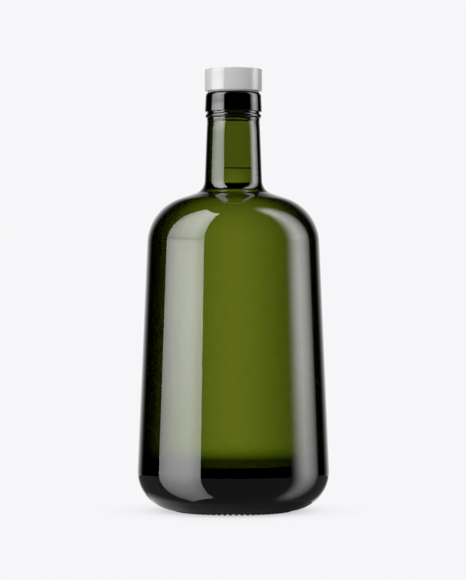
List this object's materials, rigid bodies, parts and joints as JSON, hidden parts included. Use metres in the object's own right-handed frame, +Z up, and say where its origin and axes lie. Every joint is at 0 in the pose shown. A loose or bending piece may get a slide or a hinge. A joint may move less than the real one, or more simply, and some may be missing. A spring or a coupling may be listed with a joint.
{
  "type": "glass oil bottle",
  "caption": "Round-shouldered dark green glass oil bottle with a long neck, standing on a ribbed base and closed by a white bar-top stopper that pulls out of the mouth.",
  "frame": {"origin": "centre of the base, on the surface the bottle stands on", "axes": "+Z up the bottle's axis, from the base to the stopper; the bottle is round, so +X and +Y are any two level directions at right angles"},
  "size_m": [0.0996, 0.0996, 0.2293],
  "materials": {
    "green_glass": "polished",
    "oil": "gloss",
    "white_gloss": "gloss",
    "white_plastic": "satin",
    "black_stopper": "satin"
  },
  "bodies": {
    "bottle": {"glass_bottle": "green_glass", "oil_fill": "oil"},
    "stopper": {"cap_shell": "white_gloss", "cap_insert": "white_plastic", "stopper_shank": "black_stopper"}
  },
  "joints": [
    {"name": "stopper_lift", "type": "slide", "parent": "bottle", "child": "stopper", "axis": [0, 0, 1], "range_m": [0, 0.04]}
  ]
}
